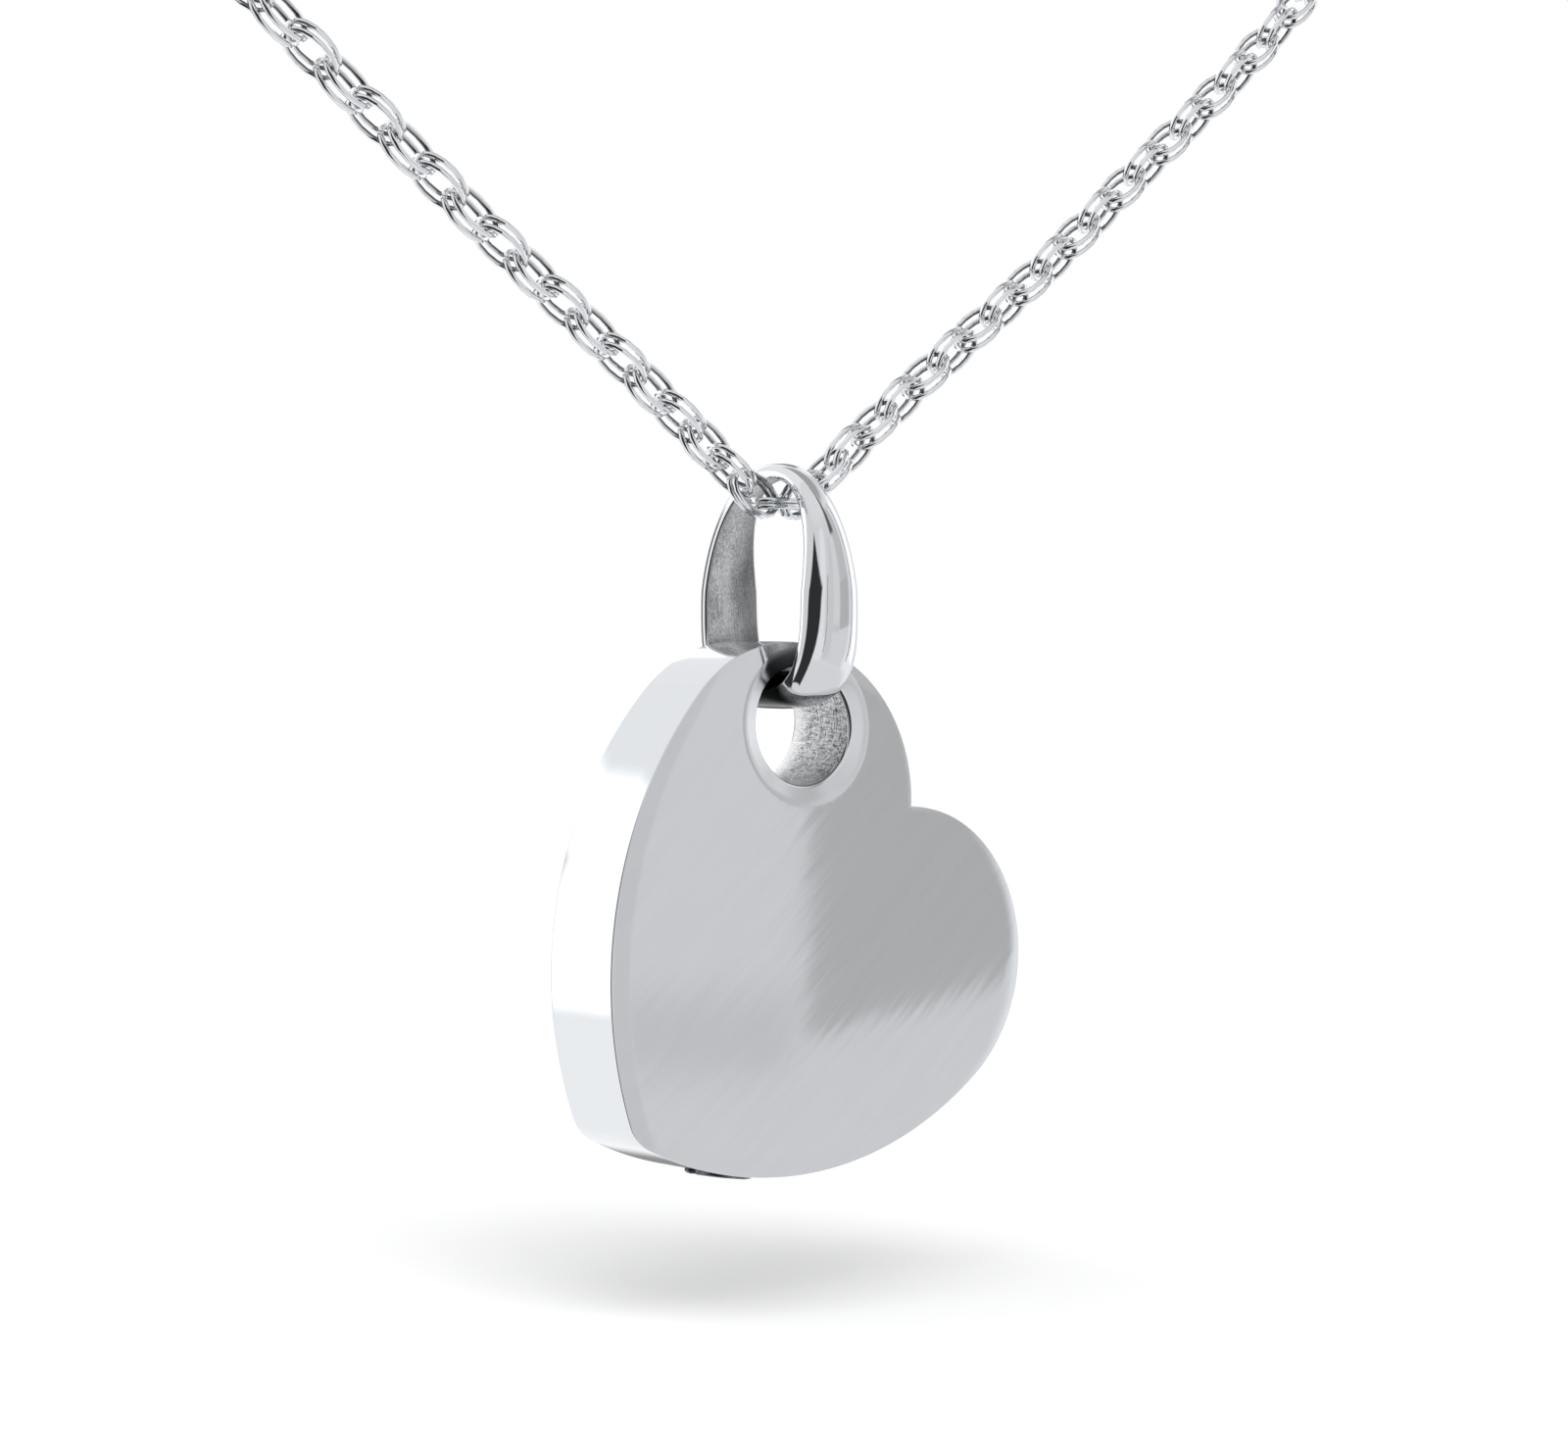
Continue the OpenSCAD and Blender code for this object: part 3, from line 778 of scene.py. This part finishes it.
def chainLinks(material):
    # Places for the links at steps along the line, each lying from one step to the next; the steps grow as
    # 1 - crowding exp(-(m / crowded)^2) from the bail outwards.
    # A link is an oval wire: middle line |x / a|^n + |y / b|^n = 1 in its own plane, with a small ring
    # round it. Pair m from the bail is turned by 90 m plus a slow roll that grows towards the clasp, and
    # which turns the other way past the bail as tanh(m / crowded). The gap in a pair goes with
    # 1 - pinch exp(-(m / pinched)^2).
    c = chain
    line = chainLine()
    run = np.concatenate([[0], np.cumsum(np.linalg.norm(np.diff(line, axis=0), axis=1))])
    places = c["pairs"] + 2
    m = np.arange(places) - places // 2
    share = 1 - c["crowding"] * np.exp(-(m / c["crowded"]) ** 2)
    steps = np.concatenate([[0], np.cumsum(share)]) * run[-1] / share.sum()
    nodes = np.stack([np.interp(steps, run, line[:, k]) for k in range(3)], -1)
    centre = (nodes[1:] + nodes[:-1]) / 2
    along = nodes[1:] - nodes[:-1]
    along /= np.linalg.norm(along, axis=1)[:, None]
    side = np.cross(along, [0, 0, 1])
    side /= np.linalg.norm(side, axis=1)[:, None]
    lift = np.cross(side, along)
    far = np.abs(m) / (places // 2)
    roll = -np.tanh(m / c["crowded"]) * (c["lowRoll"] + (c["farRoll"] - c["lowRoll"]) * far)
    turn = np.radians(90 * m + roll)[:, None]
    wide = np.cos(turn) * side + np.sin(turn) * lift
    flat = np.cross(along, wide)
    paired = (np.arange(places) > 0) & (np.arange(places) < places - 1)
    which = np.concatenate([np.where(paired)[0], np.where(paired)[0], [0, places - 1]])
    gap = c["pairGap"] * (1 - c["pinch"] * np.exp(-(m[paired] / c["pinched"]) ** 2))
    offset = np.concatenate([gap / 2, -gap / 2, [0, 0]])

    a, b, r = (c["linkLength"] - c["wire"]) / 2, (c["linkWidth"] - c["wire"]) / 2, c["wire"] / 2
    t = 2 * np.pi * np.arange(c["sides"])[:, None] / c["sides"]
    q = 2 * np.pi * np.arange(c["wireSides"])[None, :] / c["wireSides"]
    power = 2 / c["fullness"]
    ovalX = a * np.sign(np.cos(t)) * np.abs(np.cos(t)) ** power
    ovalY = b * np.sign(np.sin(t)) * np.abs(np.sin(t)) ** power
    outX = np.sign(ovalX) * np.abs(ovalX / a) ** (c["fullness"] - 1) / a
    outY = np.sign(ovalY) * np.abs(ovalY / b) ** (c["fullness"] - 1) / b
    size = np.hypot(outX, outY)
    x = (ovalX + r * np.cos(q) * outX / size).ravel()
    y = (ovalY + r * np.cos(q) * outY / size).ravel()
    z = (r * np.sin(q) + 0 * t).ravel()
    points = (centre[which][:, None] + offset[:, None, None] * flat[which][:, None]
              + x[None, :, None] * along[which][:, None] + y[None, :, None] * wide[which][:, None]
              + z[None, :, None] * flat[which][:, None])
    one = gridFaces(c["sides"], c["wireSides"], True)
    faces = one[None] + (np.arange(len(which)) * len(x))[:, None, None]
    print(f"chain: {len(which)} links on {run[-1]:.1f} mm, one step {steps[1]:.3f} mm")
    links = makeObject("chainLinks", points.reshape(-1, 3), faces.reshape(-1, 4).tolist(), [material])
    # How far each point of the wire faces its link's own middle, for the painted shade inside the links
    inner = np.tile((np.clip(-np.cos(q), 0, 1) + 0 * t).ravel(), len(which))
    links.data.attributes.new("inner", "FLOAT", "POINT").data.foreach_set("value", inner)
    return links


# Camera, floor and light

view = {
    "place": (-107.855, -252.572, -145.082),
    "right": (0.77944, -0.62647, 0.0),
    "up": (0.016455, 0.020473, 0.999655),
    "back": (-0.626255, -0.779176, 0.026267),
    "lens": 88.51,
    "sensorWidth": 36,
    "clip": (5, 20000),         # nearest and furthest that it sees
}

studio = {
    "floorHeight": -176.2,      # just below the screw when it is out
    "floorRings": (3000.0, 150.0),      # radii of the table top's two rings of points
    "floorSides": 96,
    "floorColour": "#CCCCCC",
    "mottle": 40.0,             # size of the patches where the paint is rougher or smoother
    "backdrop": 1.0,            # what the camera sees past the table
    "tint": (0.985, 0.99, 1.0, 1.0),    # of the panels, a little cool
    "base": 0.77,               # brightness between the panels
    "sun": 4.5,                 # a long strip light high on the camera's side, as a whole
    "sunTilts": (-40, -20, 0, 20, 40),      # its lamps, from its middle to both sides
    "sunTurn": -32.0,           # how far the strip turns in plan, from left and right to front and back
    "sunSpread": 38.0,          # how wide each lamp looks, which softens its shadow
    "sunAway": -38.0,           # tilt from overhead away from the camera: below 0 is towards it
    # Panels round the table: azimuth from and to (0 is in front, 90 to the right), elevation from and to,
    # softness of the edges, brightness, and how its sides and its top and bottom lean: degrees sideways
    # for each degree up, and up for each degree from the first side. A later panel stands in front of an
    # earlier one.
    "panels": [
        ("table", -180, 180, -90, -13, 3, 0.92, 0, 0),
        ("low table", -180, 180, -90, -34, 8, 0.8, 0, 0),
        ("front table", 12, 62, -34, -12, 3, 0.77, 0, 0),
        ("ceiling", -180, 180, 45, 90, 12, 0.84, 0, 0),
        ("left back wall", -181, -112, -12, 30, 4, 1.33, 0, 0),
        ("right back wall", 118, 181, -3, 30, 4, 1.33, 0, 0),
        ("left back table", -181, -112, -90, -11.6, 3, 1.04, 0, 0),
        ("right back table", 118, 181, -90, -4, 3, 1.06, 0, 0),
        ("left back ceiling", -181, -112, 29.6, 90, 4, 0.97, 0, 0),
        ("right back ceiling", 118, 181, 29.6, 90, 4, 0.97, 0, 0),
        ("roof shade", 50, 181, 52, 86, 10, 0.42, 0, 0),
        ("back gap", 135, 147.5, -25, 40, 4, 0.3, 0, 0),
        ("left corner", -181, -150, -12, 15, 3, 0.25, 0, 0),
        ("right corner", 150, 181, -12, 12, 3, 0.25, 0, 0),
        ("upper card", 40, 60.5, 6, 45, 3, 0.6, 0, 0),
        ("grey card", 39.6, 60.5, -8.1, 6.5, 0.5, 0.53, 0, 0.168),
        ("right light", 58.5, 100, -30, 45, 10, 1.0, 0, 0),
        ("right window", 68, 90, -20, 40, 2, 1.3, 0, 0),
        ("window's edge", 66.5, 73, -20, 40, 2, 0.9, 0, 0),
        ("right gap", 63.8, 66.5, -25, 45, 1, 0.3, 0, 0),
        ("low shade", 30, 39, -9.4, -6.4, 2.6, 0.67, 0, 0),
        ("low band", 18, 29.5, -30, 30, 2, 0.70, 0, 0),
        ("front gap", 13.5, 16, -25, 12, 0.8, 0.4, 0, 0),
        ("front light", -14, 8, -30, 40, 4, 0.9, 0, 0),
        ("roof bar", 36, 46, 30, 80, 3, 0.12, 0, 0),
        ("dark side", -72, -5, -60, 50, 5, 0.035, 0.5, -0.6),
    ],
}


def makeCamera():
    # A camera from its place and its three axes
    camera = bpy.data.objects.new("camera", bpy.data.cameras.new("camera"))
    bpy.context.scene.collection.objects.link(camera)
    axes = Matrix((view["right"], view["up"], view["back"])).transposed()
    camera.matrix_world = Matrix.Translation([v * mm for v in view["place"]]) @ axes.to_4x4()
    camera.data.lens = view["lens"]
    camera.data.sensor_width = view["sensorWidth"]
    camera.data.clip_start, camera.data.clip_end = [distance * mm for distance in view["clip"]]
    bpy.context.scene.camera = camera


def makeFloor():
    # A flat round table top of pale matt paint: rings r (cos t, sin t) at the floor's height
    material, tree, shader = newSurface("paintedTableTop", studio["floorColour"], 0.8, 0.0)
    mottle = stretchedNoise(tree, (studio["mottle"],) * 3, detail=2)
    varyRoughness(tree, shader, mottle, 0.75, 0.85)
    shader.inputs["Specular IOR Level"].default_value = 0.0
    height = studio["floorHeight"]
    rings = latheRings([[radius, height] for radius in studio["floorRings"]], studio["floorSides"])
    points, faces = closedShell(rings, None, np.array([0, 0, height]))
    mesh = bpy.data.meshes.new("floor")
    mesh.from_pydata((points * mm).tolist(), [], faces)
    mesh.materials.append(material)
    floor = bpy.data.objects.new("floor", mesh)
    bpy.context.scene.collection.objects.link(floor)
    floor.visible_glossy = False


def leant(tree, angle, other, start, lean):
    # The angle less lean times the other angle past its start, so that an edge at a constant value leans
    if lean == 0:
        return angle
    past = addNode(tree, "ShaderNodeMath", {0: other, 1: start}, operation="SUBTRACT").outputs[0]
    return added(tree, angle, scaled(tree, past, -lean))


def makeStudioLight():
    # Brightness is a function of direction: azimuth atan2(x, -y) and elevation asin(z). Each panel mixes
    # its own brightness in, by the product of two smooth steps up and two smooth steps down.
    world = bpy.data.worlds.new("studio")
    bpy.context.scene.world = world
    world.use_nodes = True
    tree = world.node_tree
    tree.nodes.clear()
    direction = addNode(tree, "ShaderNodeTexCoord").outputs["Generated"]
    axis = addNode(tree, "ShaderNodeSeparateXYZ", {"Vector": direction})
    minusY = scaled(tree, axis.outputs["Y"], -1.0)
    azimuth = addNode(tree, "ShaderNodeMath", {0: axis.outputs["X"], 1: minusY}, operation="ARCTAN2")
    elevation = addNode(tree, "ShaderNodeMath", {0: axis.outputs["Z"]}, operation="ARCSINE")
    degrees = [scaled(tree, angle.outputs[0], 180 / math.pi) for angle in (azimuth, elevation)]
    level = studio["base"]
    for name, azFrom, azTo, elFrom, elTo, soft, brightness, sideLean, topLean in studio["panels"]:
        across = leant(tree, degrees[0], degrees[1], 0.0, sideLean)
        upwards = leant(tree, degrees[1], degrees[0], azFrom, topLean)
        mask = 1.0
        for angle, low, high in ((across, azFrom, azTo), (upwards, elFrom, elTo)):
            for edge, fromTo in ((low, (0.0, 1.0)), (high, (1.0, 0.0))):
                step = addNode(tree, "ShaderNodeMapRange", {"Value": angle, "From Min": edge - soft / 2,
                               "From Max": edge + soft / 2, "To Min": fromTo[0], "To Max": fromTo[1]},
                               interpolation_type="SMOOTHSTEP", label=name)
                mask = scaled(tree, step.outputs[0], mask)
        level = addNode(tree, "ShaderNodeMix", {"Factor": mask, "A": level, "B": brightness}).outputs[0]
    panels = addNode(tree, "ShaderNodeBackground", {"Color": studio["tint"], "Strength": level})
    plain = addNode(tree, "ShaderNodeBackground", {"Color": (1, 1, 1, 1), "Strength": studio["backdrop"]})
    seen = addNode(tree, "ShaderNodeLightPath").outputs["Is Camera Ray"]
    mixed = addNode(tree, "ShaderNodeMixShader", {"Fac": seen, 1: panels.outputs[0], 2: plain.outputs[0]})
    addNode(tree, "ShaderNodeOutputWorld", {"Surface": mixed.outputs[0]})
    # The strip light is lamps side by side, each in the direction away tan(sunAway) + along tan(tilt) + up
    right = Vector((view["right"][0], view["right"][1], 0)).normalized()
    away = Vector((-view["back"][0], -view["back"][1], 0)).normalized()
    turn = math.radians(studio["sunTurn"])
    along = right * math.cos(turn) + away * math.sin(turn)
    for tilt in studio["sunTilts"]:
        lamp = bpy.data.lights.new("stripLight", "SUN")
        lamp.energy = studio["sun"] / len(studio["sunTilts"])
        lamp.angle = math.radians(studio["sunSpread"])
        sun = bpy.data.objects.new("stripLight", lamp)
        towards = away * math.tan(math.radians(studio["sunAway"])) + along * math.tan(math.radians(tilt))
        sun.rotation_euler = (towards + Vector((0, 0, 1))).to_track_quat("Z", "Y").to_euler()
        sun.visible_glossy = False
        bpy.context.scene.collection.objects.link(sun)


makeCamera()
makeFloor()
makeStudioLight()
bpy.context.scene.view_settings.view_transform = "Standard"
print("camera, floor and light made")

bore = boredSteel()
heartPiece = heartBlank([faceSteel(), wallSteel()])
cutWith(heartPiece, holeTool(bore, mouthSteel()), chamberTool(bore))
finishPiece(heartPiece, "heart", "heart", heart["creaseAngle"], "heart_body")
print("heart made:", len(heartPiece.data.polygons), "faces")

screwTurn = (0.0, math.radians(heart["lean"] + 90 + stopper["place"]), 0.0)
screwPiece = stopperScrew(screwSteel(screwTurn))
finishPiece(screwPiece, "stopper", "screw", stopper["creaseAngle"], "stopper_screw")
print("stopper screw made:", len(screwPiece.data.polygons), "faces")

bailPiece = bailMesh(bailSteel(), castSteel())
finishPiece(bailPiece, "bail", "bail", bail["creaseAngle"], "bail")
print("bail made:", len(bailPiece.data.polygons), "faces")

chainPiece = chainLinks(wireSteel())
finishPiece(chainPiece, "necklace", "chain", chain["creaseAngle"], "chain")
print("chain made:", len(chainPiece.data.polygons), "faces")

claspNode = frame["nodes"]["clasp"]
claspNode.data.materials.clear()
claspNode.data.materials.append(claspSteel())
print("clasp finished")
